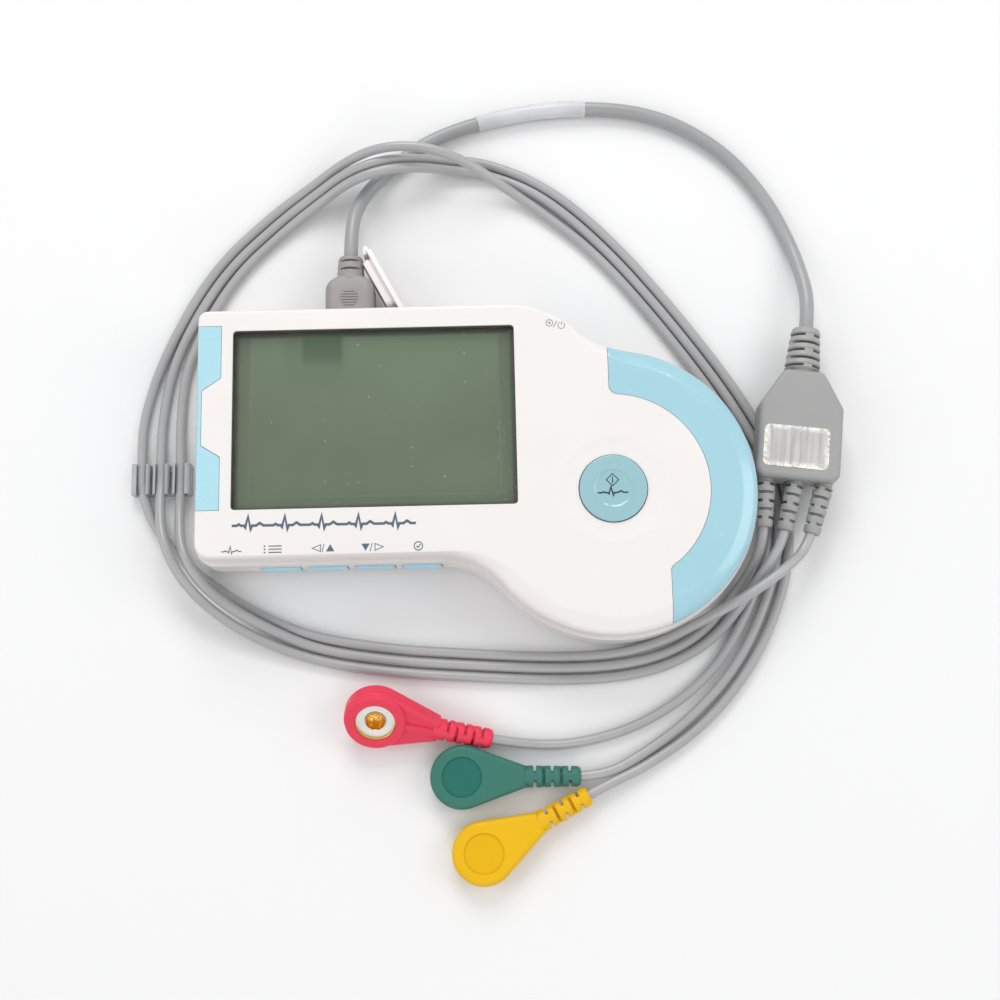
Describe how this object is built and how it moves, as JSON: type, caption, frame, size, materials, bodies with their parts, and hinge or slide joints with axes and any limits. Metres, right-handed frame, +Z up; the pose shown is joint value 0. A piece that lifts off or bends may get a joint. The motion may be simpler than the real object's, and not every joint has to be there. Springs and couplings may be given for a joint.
{
  "type": "ecg home monitor",
  "caption": "Handheld heart monitor with a wide screen, round start button, edge keys, hinged port cover, sliding battery door and a snap-lead patient cable.",
  "frame": {"origin": "under the middle of the handset's bounding box, on the table its feet stand on", "axes": "+X along the handset towards its round end, +Y across it towards the cable port, +Z up out of the screen"},
  "size_m": [0.1701, 0.1923, 0.0192],
  "materials": {
    "shell_white": "satin moulded plastic",
    "grip_blue": "glossy light blue",
    "button_blue": "glossy light blue",
    "key_blue": "glossy blue",
    "window": "clear window",
    "lcd_panel": "grey-green liquid crystal panel",
    "lcd_frame": "pressed steel",
    "board": "solder mask",
    "switch_black": "moulded plastic",
    "buzzer_black": "moulded plastic",
    "steel": "plain steel",
    "electrode_steel": "polished",
    "contact_steel": "nickel plated",
    "cell_jacket": "printed jacket",
    "foot_rubber": "soft rubber",
    "cord_grey": "light grey cable jacket",
    "plug_grey": "moulded grey",
    "yoke_grey": "fine textured grey",
    "relief_grey": "soft moulded grey",
    "foil": "silver film",
    "sleeve_clear": "clear sleeve",
    "clip_grey": "smoky plastic",
    "snap_red": "satin",
    "snap_green": "satin",
    "snap_yellow": "satin",
    "stud_gold": "plated"
  },
  "bodies": {
    "monitor": {"top_shell": "shell_white", "bottom_shell": "shell_white", "arc_grip": "grip_blue", "left_grip": "grip_blue", "lcd_lens": "window", "lcd_panel": "lcd_panel", "lcd_frame": "lcd_frame", "start_switch": "contact_steel", "key_switches": "switch_black", "main_pcb": "board", "cover_pin": "steel", "cable_socket": "contact_steel", "plug_tip": "contact_steel", "cable_plug": "plug_grey", "front_cell": "cell_jacket", "back_cell": "cell_jacket", "battery_springs": "contact_steel", "battery_contacts": "contact_steel", "buzzer": "buzzer_black", "case_screws": "steel", "board_screws": "steel", "left_electrode": "electrode_steel", "right_electrode": "electrode_steel", "feet": "foot_rubber", "trunk_cable": "cord_grey", "label_sleeve": "sleeve_clear", "yoke_top": "yoke_grey", "yoke_bottom": "yoke_grey", "yoke_label": "foil", "trunk_relief": "relief_grey", "green_relief": "relief_grey", "yellow_relief": "relief_grey", "red_relief": "relief_grey", "red_lead": "cord_grey", "green_lead": "cord_grey", "yellow_lead": "cord_grey", "red_snap": "snap_red", "green_snap": "snap_green", "yellow_snap": "snap_yellow", "red_stud": "stud_gold", "green_stud": "stud_gold", "yellow_stud": "stud_gold", "lead_clip": "clip_grey"},
    "start_button": {"start_button": "button_blue"},
    "menu_key": {"menu_key": "key_blue"},
    "left_key": {"left_key": "key_blue"},
    "right_key": {"right_key": "key_blue"},
    "ok_key": {"ok_key": "key_blue"},
    "power_key": {"power_key": "key_blue"},
    "port_cover": {"port_cover": "shell_white"},
    "battery_door": {"battery_door": "shell_white"}
  },
  "joints": [
    {"name": "start_press", "type": "slide", "parent": "monitor", "child": "start_button", "axis": [0, 0, -1], "range_m": [0, 0.0005], "stiffness_N_per_m": 900, "springref_m": -0.0006},
    {"name": "menu_press", "type": "slide", "parent": "monitor", "child": "menu_key", "axis": [0, 1, 0], "range_m": [0, 0.0005], "stiffness_N_per_m": 700, "springref_m": -0.0006},
    {"name": "left_press", "type": "slide", "parent": "monitor", "child": "left_key", "axis": [0, 1, 0], "range_m": [0, 0.0005], "stiffness_N_per_m": 700, "springref_m": -0.0006},
    {"name": "right_press", "type": "slide", "parent": "monitor", "child": "right_key", "axis": [0, 1, 0], "range_m": [0, 0.0005], "stiffness_N_per_m": 700, "springref_m": -0.0006},
    {"name": "ok_press", "type": "slide", "parent": "monitor", "child": "ok_key", "axis": [0, 1, 0], "range_m": [0, 0.0005], "stiffness_N_per_m": 700, "springref_m": -0.0006},
    {"name": "power_press", "type": "slide", "parent": "monitor", "child": "power_key", "axis": [-0.5299, -0.848, 0], "range_m": [0, 0.0005], "stiffness_N_per_m": 700, "springref_m": -0.0006},
    {"name": "cover_swing", "type": "hinge", "parent": "monitor", "child": "port_cover", "pos_m": [-0.0166, 0.03, 0.0074], "axis": [0, 0, 1], "range_deg": [-40, 0]},
    {"name": "door_slide", "type": "slide", "parent": "monitor", "child": "battery_door", "axis": [-1, 0, 0], "range_m": [0, 0.003]}
  ]
}
